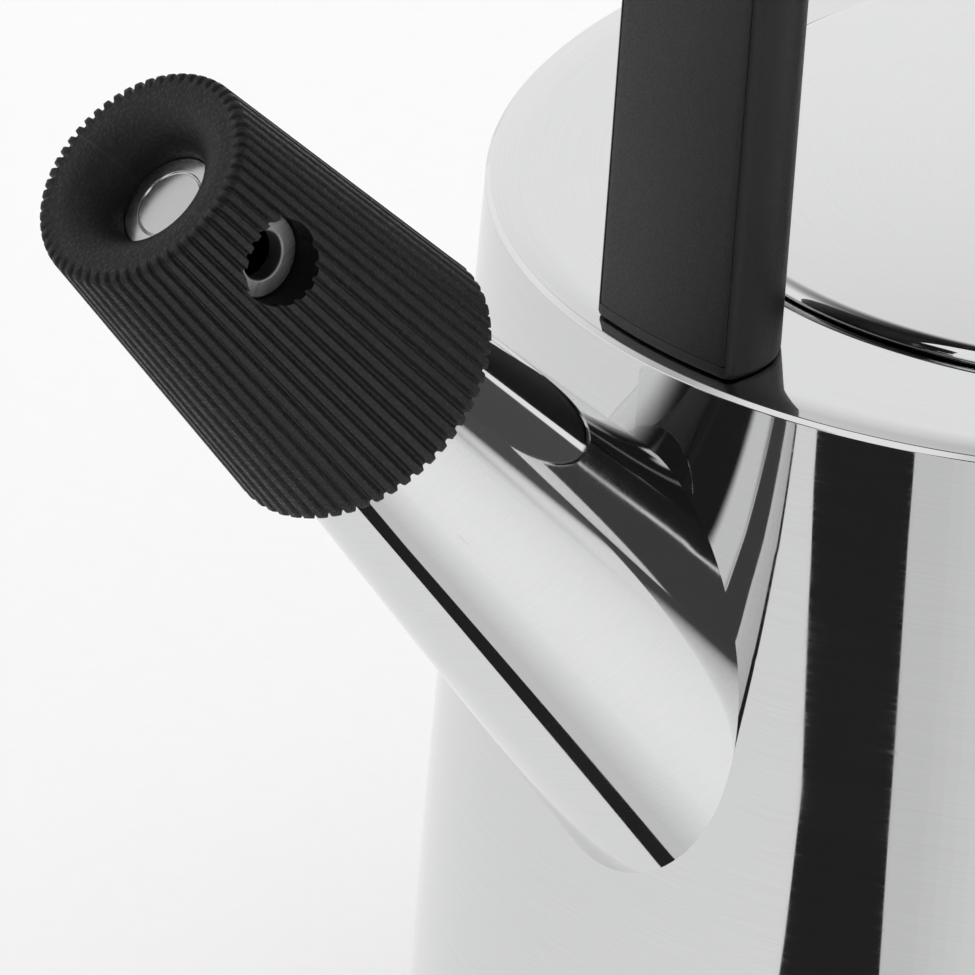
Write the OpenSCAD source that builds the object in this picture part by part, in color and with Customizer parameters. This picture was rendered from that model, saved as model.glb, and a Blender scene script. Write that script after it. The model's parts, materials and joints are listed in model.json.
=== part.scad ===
// Stovetop whistling kettle.
// Frame: +Z up, origin at the centre of the flat base, spout towards +X.

/* [Body] */
// Height of the shoulder rim above the stove
body_h = 122; // [110:1:135]
// Outer radius at the shoulder rim
top_r = 75; // [72:0.5:80]
// How far each side of the body leans in, degrees
lean = 5.0149; // [4:0.0001:7]
// Steel sheet thickness
sheet = 0.8; // [0.6:0.1:1]
// Height of the flat base assembly
base_h = 6; // [5:0.5:8]

/* [Lid] */
// Radius of the recess that the lid drops into
recess_r = 55.6; // [53:0.2:57]
// Depth of the recess
recess_deep = 2.2; // [1.6:0.2:3]
// Inner radius of the filling neck
neck_r = 49.2; // [46:0.2:50]
// Height of the lid edge above the shoulder plate
lid_stand = 1.5; // [1:0.1:3]
// How far the middle of the lid is crowned
lid_crown = 1.3; // [0.8:0.1:2]
// Height of the lid knob
knob_h = 20; // [16:1:24]
// Radius of the lid knob at its top
knob_r = 14; // [12:0.5:16]

/* [Spout] */
// Angle of the spout above the horizontal
spout_rise = 48; // [42:1:54]
// Drop of the spout's axis below the rim, at the rim's radius
spout_drop = 32.8; // [28:0.2:36]
// Spout radius where its axis crosses the rim's radius
spout_r = 17.5; // [15:0.5:19]
// Loss of spout radius for each millimetre of length
spout_taper = 0.105; // [0.08:0.005:0.12]
// Length of the spout from that crossing to its mouth
spout_len = 67; // [64:0.5:69]

/* [Whistle cap] */
// Distance along the spout at which the cap starts
cap_start = 53.8; // [52:0.2:55]
// Length of the cap
cap_len = 40.4; // [39:0.2:42]
// Cap radius over the ribs, at its mouth
cap_mouth_r = 15.8; // [15:0.1:17]
// Cap radius over the ribs, at its end
cap_end_r = 12.2; // [11.8:0.1:13]
// Number of grip ribs
cap_ribs = 58; // [40:2:72]
// Height of a grip rib
rib_h = 0.6; // [0.4:0.1:0.8]
// Radius of the steam hole in the cap's side
steam_hole_r = 4.45; // [3.5:0.05:5]
// Distance of the steam hole from the cap's end
steam_hole_from_end = 10.6; // [10:0.2:12]
// Bore of the metal eyelet inside the steam hole
steam_bore_r = 2.5; // [1.5:0.1:2.6]
// Turn of the steam hole round the cap, from the left side of the kettle
steam_hole_turn = 5.3; // [0:0.1:20]

/* [Handle] */
// Height of the handle's top above the stove
handle_h = 212; // [205:1:225]
// Distance of each bend's centre from the kettle's axis
bend_x = 35.9; // [35:0.1:37]
// Half the width of the handle
grip_half = 11.05; // [9:0.05:12]
// Thickness of the handle
grip_deep = 13.1; // [12:0.1:15]
// Outer bend radius of the handle
bend_r = 32; // [26:1:38]

/* [Hidden] */

$fn = 96;
gap = 0.3;               // between pieces that move apart
hair = 0.1;              // between pieces that stay together
eps = 0.01;
slope = tan(lean);
steel = [0.84, 0.85, 0.87];
satin = [0.62, 0.63, 0.65];
black = [0.07, 0.07, 0.075];
silicone = [0.16, 0.16, 0.17];

// points of an arc, from angle a0 to a1 about [cx, cy]
function arc(cx, cy, r, a0, a1, steps = 6) = [
    for (i = [0:steps]) let (a = a0 + (a1 - a0) * i / steps) [cx + r * cos(a), cy + r * sin(a)]
];
// outer radius of the body at a height
function body_r(z) = top_r + (body_h - z) * slope;

// ---- body ----
rim_round = 0.75;        // tight edge between wall and shoulder
shoulder_rise = 0.3;     // shoulder plate above the rim edge
shoulder_in = 4.5;       // width of the shoulder's curved margin
shell_top = body_h - rim_round;
pan_h = 14;              // height of the drawn bottom pan
pan_round = 5;
plate_z = body_h + shoulder_rise;
seat_z = plate_z - recess_deep;
neck_h = 8;
base_r = body_r(0) - 5.4;

module body_solid(shrink = 0, low = -1, high = 400) {
    // cone of the body's outer surface, made smaller by shrink
    rotate_extrude()
        polygon([
            [0, low], [body_r(low) - shrink, low], [body_r(high) - shrink, high], [0, high]
        ]);
}

module body_shell() {
    color(steel) difference() {
        rotate_extrude()
            polygon([
                [body_r(pan_h) - sheet, pan_h], [body_r(pan_h), pan_h],
                [body_r(shell_top), shell_top], [body_r(shell_top) - sheet, shell_top]
            ]);
        at_spout() spout_cone(-sheet, -40, 60);
    }
}

module top_plate() {
    edge = body_r(shell_top);
    out = concat(
        [[edge - sheet, shell_top], [edge, shell_top]],
        arc(edge - rim_round, shell_top, rim_round, 15, 75, 4),
        arc(top_r - shoulder_in, plate_z - 28, 28, 82, 90, 5),
        arc(recess_r + 0.6, plate_z - 0.6, 0.6, 90, 180, 4),
        [
            [recess_r, seat_z + sheet], [neck_r + sheet + 0.6, seat_z + sheet],
            [neck_r, seat_z + sheet - 0.6], [neck_r, seat_z - neck_h],
            [neck_r + sheet, seat_z - neck_h], [neck_r + sheet, seat_z],
            [recess_r + sheet, seat_z], [recess_r + sheet, plate_z - sheet],
            [top_r - shoulder_in, plate_z - sheet], [edge - sheet, shell_top - 0.2]
        ]
    );
    color(steel) rotate_extrude() polygon(out);
}

module vessel_bottom() {
    r0 = body_r(pan_h);
    rc = body_r(base_h + pan_round) - pan_round;
    profile = concat(
        [[0, base_h], [rc, base_h]],
        arc(rc, base_h + pan_round, pan_round, -75, lean, 7),
        [[r0, pan_h], [r0 - sheet, pan_h]],
        arc(rc, base_h + pan_round, pan_round - sheet, lean, -90, 7),
        [[0, base_h + sheet]]
    );
    color(steel) rotate_extrude() polygon(profile);
}

module base_core() {
    color(satin) translate([0, 0, sheet + hair / 2])
        cylinder(r = base_r - sheet - hair, h = base_h - sheet - hair);
}

module base_cap() {
    edge = 1.6;
    profile = concat(
        [[0, 0], [base_r - edge, 0]],
        arc(base_r - edge, edge, edge, -75, 0, 4),
        [[base_r, base_h], [base_r - sheet, base_h], [base_r - sheet, sheet], [0, sheet]]
    );
    color(satin) rotate_extrude() polygon(profile);
}

// ---- spout ----
module at_spout() {
    translate([top_r, 0, body_h - spout_drop]) rotate([0, 90 - spout_rise, 0]) children();
}

// solid cone of the spout, grown by offset, between two distances along its axis
module spout_cone(grow, from, to) {
    translate([0, 0, from])
        cylinder(
            r1 = spout_r + grow - spout_taper * from,
            r2 = spout_r + grow - spout_taper * to,
            h = to - from
        );
}

module spout() {
    mouth_r = spout_r - spout_taper * spout_len;
    lip = 0.8;
    color(steel) difference() {
        at_spout() union() {
            spout_cone(0, -45, spout_len - lip);
            translate([0, 0, spout_len - lip]) rotate_extrude()
                polygon(concat([[0, -lip]], arc(mouth_r, 0, lip, -90, 90, 8), [[0, lip]]));
        }
        at_spout() spout_cone(-sheet, -46, spout_len + 1);
        body_solid(0, -1, body_h + 60);
    }
}

// ---- handle: an arch of one section, swept over legs, bends and top bar ----
bend_z = handle_h - bend_r;
foot_z = plate_z + 0.1;
handle_foot_r = bend_x + (bend_r + (bend_z - body_h) * sin(lean)) / cos(lean);
leg_len = (bend_z - body_h) / cos(lean) + 14;
face_crown_r = handle_foot_r;
cover_half = 10.1;
cover_deep = 2.2;
strap_half = 7;
strap_out = 3.6;         // depth of the strap's outer face
strap_in = 6.1;          // depth of its inner face

// depth of the crowned outer face at a half width
function crown(y) = face_crown_r - sqrt(face_crown_r * face_crown_r - y * y);

module grip_section() {
    nose = 1.2;
    side_deep = 2.6;
    nose_y = grip_half - nose;
    face = [for (i = [-4:4]) let (y = nose_y * i / 4) [-crown(y), y]];
    back = [
        for (i = [0:14]) let (a = 90 - 180 * i / 14)
            [-side_deep - (grip_deep - side_deep) * cos(a), grip_half * sin(a)]
    ];
    corner_up = [for (a = [30:30:60]) [-crown(nose_y) - nose + nose * cos(a), nose_y + nose * sin(a)]];
    corner_down = [for (a = [60:-30:30]) [-crown(nose_y) - nose + nose * cos(a), -nose_y - nose * sin(a)]];
    polygon(concat(face, corner_up, back, corner_down));
}

module strip_section(half, near, far) {
    translate([-far, -half]) square([far - near, 2 * half]);
}

module arch(bar_trim = 0) {
    // children are the section, drawn with x pointing out of the arch
    rotate([90, 0, 0]) {
        translate([0, bend_z, 0]) rotate([0, 0, 90]) translate([bend_r, 0, 0]) rotate([90, 0, 0])
            linear_extrude(2 * bend_x, center = true) children();
        for (side = [0, 1]) mirror([side, 0, 0]) translate([bend_x, bend_z, 0]) {
            rotate_extrude(start = lean, angle = 90 - lean) translate([bend_r, 0]) children();
            rotate([0, 0, lean]) translate([bend_r, 0, 0]) rotate([90, 0, 0])
                linear_extrude(leg_len) children();
        }
    }
}

module above(z) {
    intersection() {
        children();
        translate([-150, -50, z]) cube([300, 100, 200]);
    }
}

// leg frame: x out of the leg's face, z along the leg, origin at the face's foot
module at_leg(side) {
    mirror([side, 0, 0]) translate([handle_foot_r, 0, body_h]) rotate([0, -lean, 0]) children();
}

bracket_half = 5.5;
bracket_in = 10.2;
bracket_h = 17;
screw_up = 11;           // height of the handle screw up the leg
screw_r = 2;
screw_head_r = 3.6;

module handle_grip() {
    color(black) above(foot_z) difference() {
        arch() grip_section();
        arch() strip_section(cover_half + hair, -1, cover_deep + hair);
        arch() strip_section(strap_half + hair, 1, strap_in + hair);
        for (side = [0, 1]) at_leg(side)
            translate([-bracket_in - hair, -bracket_half - hair, -5])
                cube([bracket_in, 2 * (bracket_half + hair), bracket_h + 5 + hair]);
    }
}

module cover_section() {
    face = [for (i = [-4:4]) let (y = cover_half * i / 4) [-crown(y), y]];
    polygon(concat(face, [[-cover_deep, cover_half], [-cover_deep, -cover_half]]));
}

module handle_cover() {
    color(black) above(foot_z + 1.3) arch() cover_section();
}

module screw_axis(side) {
    at_leg(side) translate([0, 0, screw_up]) rotate([0, -90, 0]) children();
}

module handle_core() {
    color(satin) difference() {
        above(foot_z + 3) arch() strip_section(strap_half, strap_out, strap_in);
        for (side = [0, 1]) screw_axis(side) cylinder(r = screw_r + 0.2, h = 20);
    }
}

module bracket(side) {
    difference() {
        at_leg(side) translate([-bracket_in, -bracket_half, -4])
            cube([bracket_in - strap_in - hair / 2, 2 * bracket_half, bracket_h + 4]);
        translate([-100, -20, plate_z - 30]) cube([200, 40, 30]);
        screw_axis(side) cylinder(r = screw_r + 0.05, h = 20);
    }
}

module front_bracket() {
    color(satin) bracket(0);
}

module rear_bracket() {
    color(satin) bracket(1);
}

module handle_screws() {
    color(satin) for (side = [0, 1]) screw_axis(side) {
        translate([0, 0, cover_deep + 2 * hair])
            cylinder(r = screw_head_r, h = strap_out - cover_deep - 2 * hair);
        translate([0, 0, strap_out - eps]) cylinder(r = screw_r, h = 6.2);
    }
}

// ---- lid ----
lid_r = recess_r - 1;
lid_low = seat_z + sheet + gap;
lid_top = plate_z + lid_stand;
lid_round = 1.4;
crown_r = (lid_r * lid_r + lid_crown * lid_crown) / (2 * lid_crown);
lid_hub = lid_top + lid_crown;
skirt_r = neck_r - 0.8;
stem_r = 2;

// height of the lid's crowned top at a radius
function lid_z(r) = lid_hub - crown_r + sqrt(crown_r * crown_r - r * r);

module lid_plate() {
    in_r = lid_r - lid_round;
    top = [for (i = [0:8]) let (r = in_r * (8 - i) / 8) [r, lid_z(r)]];
    under = [for (i = [0:8]) let (r = (lid_r - sheet) * i / 8) [r, lid_z(r) - sheet]];
    edge_z = lid_z(in_r) - lid_round;
    profile = concat(
        [[lid_r - sheet, lid_low], [lid_r, lid_low]],
        arc(in_r, edge_z, lid_round, 0, 75, 5),
        top,
        under
    );
    color(steel) difference() {
        rotate_extrude() polygon(profile);
        translate([0, 0, lid_low]) cylinder(r = stem_r + 0.2, h = 20);
    }
}

module lid_skirt() {
    top = lid_z(skirt_r) - sheet - hair / 2;
    low = seat_z - neck_h - 1.5;
    color(steel) rotate_extrude()
        polygon([
            [skirt_r - sheet, low], [skirt_r, low], [skirt_r, top], [skirt_r - 5, top],
            [skirt_r - 5, top - sheet], [skirt_r - sheet, top - sheet]
        ]);
}

module lid_seal() {
    low = seat_z - neck_h + 1;
    color(silicone) rotate_extrude()
        polygon([
            [skirt_r + eps, low], [neck_r - gap, low + 0.8], [skirt_r + 0.3, low + 1.6],
            [neck_r - gap, low + 2.4], [skirt_r + eps, low + 3.4]
        ]);
}

ferrule_h = 1.2;
knob_low = lid_hub + ferrule_h + hair / 2;
insert_r = 4;
insert_h = 12;

module knob_ferrule() {
    color(steel) translate([0, 0, lid_hub]) difference() {
        cylinder(r = knob_r - 2.5, h = ferrule_h);
        translate([0, 0, -1]) cylinder(r = stem_r + 0.2, h = 5);
    }
}

module knob() {
    low_r = knob_r - 2;
    dish_r = 6;
    dish = 1.6;
    top = knob_low + knob_h;
    ribs = 48;
    tilt = atan(2 / knob_h);
    profile = concat(
        [[0, knob_low], [low_r - rib_h, knob_low], [knob_r - rib_h, top - 1.5]],
        arc(knob_r - rib_h - 1.5, top - 1.5, 1.5, 15, 90, 4),
        arc(dish_r + dish, top - dish, dish, 90, 180, 5),
        [[0, top - dish]]
    );
    color(black) difference() {
        union() {
            rotate_extrude() polygon(profile);
            for (i = [0:ribs - 1]) rotate([0, 0, i * 360 / ribs])
                translate([low_r - 1, -0.45, knob_low + 0.4]) rotate([0, tilt, 0])
                    cube([1, 0.9, knob_h - 2.4]);
        }
        translate([0, 0, knob_low - 1]) cylinder(r = insert_r, h = insert_h + 1 + hair);
    }
}

module knob_disc() {
    color(steel) translate([0, 0, knob_low + knob_h - 1.6 + hair / 2]) cylinder(r = 5.8, h = 0.6);
}

module knob_insert() {
    color([0.72, 0.58, 0.28]) translate([0, 0, knob_low]) difference() {
        cylinder(r = insert_r - hair / 2, h = insert_h);
        translate([0, 0, -1]) cylinder(r = stem_r + 0.05, h = insert_h - 1);
    }
}

module knob_washer() {
    color(satin) translate([0, 0, lid_hub - sheet - hair / 2 - 1]) difference() {
        cylinder(r = 7, h = 1);
        translate([0, 0, -1]) cylinder(r = stem_r + 0.2, h = 3);
    }
}

module knob_screw() {
    head = 2.4;
    low = lid_hub - sheet - hair - 1;
    color(satin) {
        translate([0, 0, low - head]) cylinder(r = 3.8, h = head);
        translate([0, 0, low - eps]) cylinder(r = stem_r, h = 11);
    }
}

// ---- whistle cap, drawn along the spout's axis ----
cap_end = cap_start + cap_len;
cap_slope = (cap_mouth_r - cap_end_r) / cap_len;
steam_z = cap_end - steam_hole_from_end;
disc_z = cap_end - 4.5;
disc_r = 5.4;
tube_r = 9.1;            // outside of the steel whistle chamber
tube_sheet = 0.6;
tube_low = spout_len + 2.5;
tube_high = disc_z - 2.3;
seal_low = cap_start + 4;
seal_high = cap_start + 10;
seal_out = 12.7;
seal_bore = 11.75;

// radius over the ribs at a distance along the spout
function cap_r(z) = cap_mouth_r - cap_slope * (z - cap_start);

module cap_shell() {
    root = rib_h;
    lip = 3;             // radius of the dished end's inner edge
    edge = 1.4;
    bore_mouth = 13.1;
    hollow = tube_r + hair;
    end_r = cap_r(cap_end) - root;
    profile = concat(
        [[bore_mouth, cap_start], [cap_r(cap_start) - root, cap_start]],
        arc(end_r - edge, cap_end - edge, edge, 10, 90, 4),
        arc(disc_r + lip, cap_end - lip, lip, 90, 180, 7),
        [[disc_r, disc_z - 0.7], [0, disc_z - 0.7], [0, tube_high + hair], [hollow, tube_high + hair]],
        [[hollow, tube_low - hair], [seal_out + hair, spout_len + 2 * gap], [seal_out + hair, seal_low]]
    );
    color(black) at_spout() difference() {
        union() {
            rotate_extrude() polygon(profile);
            for (i = [0:cap_ribs - 1]) rotate([0, 0, i * 360 / cap_ribs])
                translate([cap_mouth_r, 0, cap_start]) rotate([0, -atan(cap_slope), 0])
                    translate([-1.4, -0.42, 0]) cube([1.4, 0.84, cap_len - 1.2]);
        }
        steam_axis() cylinder(r = steam_hole_r, h = 30);
    }
}

// x axis of the steam hole, pointing out of the cap
module steam_axis() {
    translate([0, 0, steam_z]) rotate([0, 0, 90 + steam_hole_turn]) rotate([0, 90, 0]) children();
}

module cap_seal() {
    // soft ring round the spout just below its mouth, drawn as it is while nothing squeezes it
    color(silicone) at_spout() difference() {
        translate([0, 0, seal_low]) cylinder(r = seal_out, h = seal_high - seal_low);
        translate([0, 0, cap_start]) cylinder(r = seal_bore, h = 20);
    }
}

module whistle_body() {
    color(satin) at_spout() difference() {
        translate([0, 0, tube_low]) cylinder(r = tube_r, h = tube_high - tube_low);
        translate([0, 0, tube_low - 1])
            cylinder(r = tube_r - tube_sheet, h = tube_high - tube_low + 1 - tube_sheet);
        steam_axis() cylinder(r = 2.9, h = 30);
    }
}

module whistle_plate(z) {
    color(satin) at_spout() translate([0, 0, z]) difference() {
        cylinder(r = tube_r - tube_sheet - hair / 2, h = 0.6);
        translate([0, 0, -1]) cylinder(r = 1.5, h = 3);
    }
}

module whistle_plate_inner() {
    whistle_plate(tube_low + 0.4);
}

module whistle_plate_outer() {
    whistle_plate(tube_low + 4.4);
}

module whistle_eyelet() {
    flange = 0.6;
    neck = 1.3;
    color(satin) at_spout() steam_axis() difference() {
        union() {
            translate([0, 0, tube_r + hair / 2]) cylinder(r = 4.25, h = flange);
            translate([0, 0, tube_r - neck]) cylinder(r = 2.85, h = neck + flange);
        }
        cylinder(r = steam_bore_r, h = 30);
    }
}

module cap_disc() {
    color(steel) at_spout() translate([0, 0, disc_z - 0.7 + hair / 2]) difference() {
        cylinder(r = disc_r - hair / 2, h = 0.7);
        translate([0, 0, 0.6]) difference() {
            cylinder(r = 3.6, h = 1);
            translate([0, 0, -1]) cylinder(r = 3.45, h = 3);
        }
    }
}

body_shell();
top_plate();
vessel_bottom();
base_core();
base_cap();
spout();
front_bracket();
rear_bracket();
handle_core();
handle_grip();
handle_cover();
handle_screws();
lid_plate();
lid_skirt();
lid_seal();
knob();
knob_ferrule();
knob_insert();
knob_disc();
knob_screw();
knob_washer();
cap_shell();
cap_seal();
whistle_body();
whistle_plate_inner();
whistle_plate_outer();
whistle_eyelet();
cap_disc();
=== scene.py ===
import json
import math

import bmesh
import bpy
import numpy as np
from mathutils import Matrix, Vector


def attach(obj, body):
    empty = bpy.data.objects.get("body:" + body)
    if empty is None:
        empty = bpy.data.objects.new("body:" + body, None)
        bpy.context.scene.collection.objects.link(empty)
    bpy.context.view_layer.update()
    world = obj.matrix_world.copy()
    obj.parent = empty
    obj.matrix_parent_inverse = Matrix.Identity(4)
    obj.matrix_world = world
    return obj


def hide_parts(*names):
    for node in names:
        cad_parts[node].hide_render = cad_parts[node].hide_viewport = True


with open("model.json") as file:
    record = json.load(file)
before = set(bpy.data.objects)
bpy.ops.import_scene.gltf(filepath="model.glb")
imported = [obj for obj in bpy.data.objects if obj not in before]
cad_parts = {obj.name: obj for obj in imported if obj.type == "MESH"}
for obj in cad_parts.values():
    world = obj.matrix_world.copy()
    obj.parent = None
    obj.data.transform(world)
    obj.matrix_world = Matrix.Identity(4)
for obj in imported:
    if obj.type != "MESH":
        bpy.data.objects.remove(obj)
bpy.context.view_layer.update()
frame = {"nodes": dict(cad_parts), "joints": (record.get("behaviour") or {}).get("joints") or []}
mm = 0.001  # outlines are in millimetres, the scene is in metres
mmPerMetre = 1000.0
fineSteps = 384  # facets round the wide turned parts
upright = Matrix.Identity(4)


def turnedReach(node, place=upright):
    # a frame part's lowest and highest level and its greatest radius, seen from its own axis
    toLocal = place.inverted()
    points = np.array([toLocal @ v.co for v in frame["nodes"][node].data.vertices]) / mm
    return points[:, 2].min(), points[:, 2].max(), np.hypot(points[:, 0], points[:, 1]).max()


jointUpSpout = 60  # from the middle of the spout's root to the cap's joint
joint = {j["name"]: j for j in frame["joints"]}
spoutAxis = Vector(joint["cap_turn"]["axis"])
spoutStart = Vector(joint["cap_turn"]["pos_m"]) - spoutAxis * jointUpSpout * mm
spoutLean = math.atan2(spoutAxis.x, spoutAxis.z)
spoutPlace = Matrix.Translation(spoutStart) @ Matrix.Rotation(spoutLean, 4, "Y")

wallLow, wallHigh, wallFootR = turnedReach("body_shell")
wallTopR = turnedReach("top_plate")[2]
wallSlope = (wallFootR - wallTopR) / (wallHigh - wallLow)
wallLean = math.atan(wallSlope)


def wallRadius(z):
    # outside of the tapered wall at a level
    return wallTopR + (wallHigh - z) * wallSlope


def smooth(t):
    # eases from 0 to 1
    return t * t * (3 - 2 * t)


def arc(cx, cy, radius, start, end, steps):
    # points round a centre, between two angles in degrees
    angles = np.radians(np.linspace(start, end, steps + 1))
    return [(cx + radius * math.cos(a), cy + radius * math.sin(a)) for a in angles]


def rounded(corners, closed=True, steps=8, hold=0.12):
    # corners are (x, y) or (x, y, fillet radius); a pair of holding points keeps flats flat
    out = []
    for i, corner in enumerate(corners):
        here = np.array(corner[:2], float)
        radius = corner[2] if len(corner) > 2 else 0
        if not radius or (not closed and i in (0, len(corners) - 1)):
            out.append(tuple(here))
            continue
        back = np.array(corners[i - 1][:2]) - here
        ahead = np.array(corners[(i + 1) % len(corners)][:2]) - here
        back = back / np.linalg.norm(back)
        ahead = ahead / np.linalg.norm(ahead)
        half = math.acos(np.clip(back @ ahead, -1, 1)) / 2
        sweep = math.pi - 2 * half
        reach = radius / math.tan(half)
        middle = here + (back + ahead) / np.linalg.norm(back + ahead) * radius / math.sin(half)
        first, last = here + back * reach - middle, here + ahead * reach - middle
        out.append(tuple(middle + first + back * hold))
        for t in np.linspace(0, 1, steps + 1):
            way = first * math.sin((1 - t) * sweep) + last * math.sin(t * sweep)
            out.append(tuple(middle + way / np.linalg.norm(way) * radius))
        out.append(tuple(middle + last + ahead * hold))
    return out


def lathe(outline, steps, ribs=0, ribShape=None):
    # outline points are (radius, height) or (radius, height, rib share); ribs stand along its normal
    profile = np.array([(p[0], p[1], p[2] if len(p) > 2 else 0) for p in outline], float)
    ahead, back = np.roll(profile, -1, 0), np.roll(profile, 1, 0)
    along = (ahead - back)[:, :2]
    length = np.maximum(np.linalg.norm(along, axis=1), 1e-9)
    normal = np.stack([along[:, 1], -along[:, 0]], 1) / length[:, None]
    turn = np.linspace(0, 2 * math.pi, steps, endpoint=False)
    lift = ribShape(turn * ribs / (2 * math.pi) % 1) if ribs else np.zeros(steps)
    points, rings = [], []
    for (r, z, share), n in zip(profile, normal):
        if r < 1e-6:
            rings.append([len(points)])
            points.append((0, 0, z))
            continue
        rings.append(list(range(len(points), len(points) + steps)))
        radius = r + n[0] * lift * share
        height = z + n[1] * lift * share
        points += list(zip(radius * np.cos(turn), radius * np.sin(turn), height))
    faces = []
    for a, b in zip(rings, rings[1:] + rings[:1]):
        if len(a) == 1 and len(b) == 1:
            continue
        for i in range(steps):
            j = (i + 1) % steps
            if len(a) == 1:
                faces.append((a[0], b[i], b[j]))
            elif len(b) == 1:
                faces.append((a[i], a[j], b[0]))
            else:
                faces.append((a[i], a[j], b[j], b[i]))
    return points, faces


def ringFaces(count, pairs):
    # quads between pairs of equal rings, given by their numbers
    return [
        (a * count + i, a * count + (i + 1) % count, b * count + (i + 1) % count, b * count + i)
        for a, b in pairs for i in range(count)
    ]


def loft(rings):
    # closed sections joined one to the next, with both ends filled
    count = len(rings[0])
    points = [p for ring in rings for p in ring]
    faces = ringFaces(count, [(k, k + 1) for k in range(len(rings) - 1)])
    faces += [tuple(range(count)), tuple(range((len(rings) - 1) * count, len(rings) * count))]
    return points, faces


def shade(mesh, crease):
    # welds, turns faces outwards and smooths all but the edges sharper than the crease angle
    build = bmesh.new()
    build.from_mesh(mesh)
    bmesh.ops.remove_doubles(build, verts=build.verts, dist=1e-7)
    bmesh.ops.recalc_face_normals(build, faces=build.faces)
    build.to_mesh(mesh)
    build.free()
    mesh.polygons.foreach_set("use_smooth", [True] * len(mesh.polygons))
    mesh.set_sharp_from_angle(angle=math.radians(crease))
    mesh.update()


def meshOf(name, geometry):
    points, faces = geometry
    mesh = bpy.data.meshes.new(name)
    mesh.from_pydata([tuple(c * mm for c in p) for p in points], [], faces)
    return mesh


def piece(name, geometry, body, material, stands, place=upright, crease=34):
    # a finished mesh on its body, in place of the frame part that it stands for
    mesh = meshOf(name, geometry)
    mesh.transform(place)
    shade(mesh, crease)
    obj = bpy.data.objects.new(name, mesh)
    bpy.context.scene.collection.objects.link(obj)
    mesh.materials.append(material)
    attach(obj, body)
    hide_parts(stands)
    return obj


def drill(obj, cutter, crease):
    hole = obj.modifiers.new("drill", "BOOLEAN")
    hole.object = cutter
    hole.solver = "EXACT"
    hole.material_mode = "TRANSFER"
    graph = bpy.context.evaluated_depsgraph_get()
    mesh = bpy.data.meshes.new_from_object(obj.evaluated_get(graph), depsgraph=graph)
    obj.modifiers.remove(hole)
    obj.data = mesh
    shade(mesh, crease)
    bpy.data.objects.remove(cutter)


def newGroup(name, inputs, outputs):
    tree = bpy.data.node_groups.new(name, "ShaderNodeTree")
    for label, value in inputs.items():
        tree.interface.new_socket(label, in_out="INPUT", socket_type="NodeSocketFloat").default_value = value
    for label in outputs:
        tree.interface.new_socket(label, in_out="OUTPUT", socket_type="NodeSocketFloat")
    return tree, tree.nodes.new("NodeGroupInput"), tree.nodes.new("NodeGroupOutput")


def mathNode(tree, operation, *values):
    node = tree.nodes.new("ShaderNodeMath")
    node.operation = operation
    for socket, value in zip(node.inputs, values):
        if isinstance(value, (int, float)):
            socket.default_value = value
        else:
            tree.links.new(value, socket)
    return node.outputs[0]


def noiseNode(tree, vector, scale, detail, roughness):
    node = tree.nodes.new("ShaderNodeTexNoise")
    tree.links.new(vector, node.inputs["Vector"])
    if isinstance(scale, (int, float)):
        node.inputs["Scale"].default_value = scale
    else:
        tree.links.new(scale, node.inputs["Scale"])
    node.inputs["Detail"].default_value = detail
    node.inputs["Roughness"].default_value = roughness
    return node.outputs["Fac"]


def ramp(tree, value, low, high):
    node = tree.nodes.new("ShaderNodeMapRange")
    node.interpolation_type = "SMOOTHSTEP"
    tree.links.new(value, node.inputs["Value"])
    node.inputs["From Min"].default_value = low
    node.inputs["From Max"].default_value = high
    return node.outputs["Result"]


def objectCoordinates(tree):
    return tree.nodes.new("ShaderNodeTexCoord").outputs["Object"]


def vectorNode(tree, operation, first, second):
    node = tree.nodes.new("ShaderNodeVectorMath")
    node.operation = operation
    for socket, value in zip(node.inputs, (first, second)):
        tree.links.new(value, socket)
    return node.outputs[0]


def makeTurnedLines():
    # fine lines left by turning and polishing round the piece's own axis, which may lean towards +X
    inputs = {"Lines per mm": 6.0, "Arc length": 1.0, "Lean": 0.0, "Axis X": 0.0, "Axis Z": 0.0}
    tree, given, result = newGroup("turnedLines", inputs, ["Lines"])
    start = tree.nodes.new("ShaderNodeCombineXYZ")
    tree.links.new(given.outputs["Axis X"], start.inputs[0])
    tree.links.new(given.outputs["Axis Z"], start.inputs[2])
    level = tree.nodes.new("ShaderNodeVectorRotate")
    level.rotation_type = "Y_AXIS"
    moved = vectorNode(tree, "SUBTRACT", objectCoordinates(tree), start.outputs[0])
    tree.links.new(moved, level.inputs["Vector"])
    tree.links.new(mathNode(tree, "MULTIPLY", given.outputs["Lean"], -1.0), level.inputs["Angle"])
    split = tree.nodes.new("ShaderNodeSeparateXYZ")
    tree.links.new(level.outputs[0], split.inputs[0])
    x, y, z = split.outputs
    squares = mathNode(tree, "ADD", mathNode(tree, "MULTIPLY", x, x),
                       mathNode(tree, "MULTIPLY_ADD", y, y, 1e-12))
    radius = mathNode(tree, "SQRT", squares)
    across = mathNode(tree, "MULTIPLY", mathNode(tree, "ADD", radius, z), mmPerMetre)
    spot = tree.nodes.new("ShaderNodeCombineXYZ")
    for socket, side in zip(spot.inputs, (x, y)):
        turn = mathNode(tree, "DIVIDE", side, radius)
        tree.links.new(mathNode(tree, "MULTIPLY", turn, given.outputs["Arc length"]), socket)
    tree.links.new(mathNode(tree, "MULTIPLY", across, given.outputs["Lines per mm"]), spot.inputs[2])
    lines = noiseNode(tree, spot.outputs[0], 1.0, detail=3.0, roughness=0.65)
    tree.links.new(lines, result.inputs["Lines"])
    return tree


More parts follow.
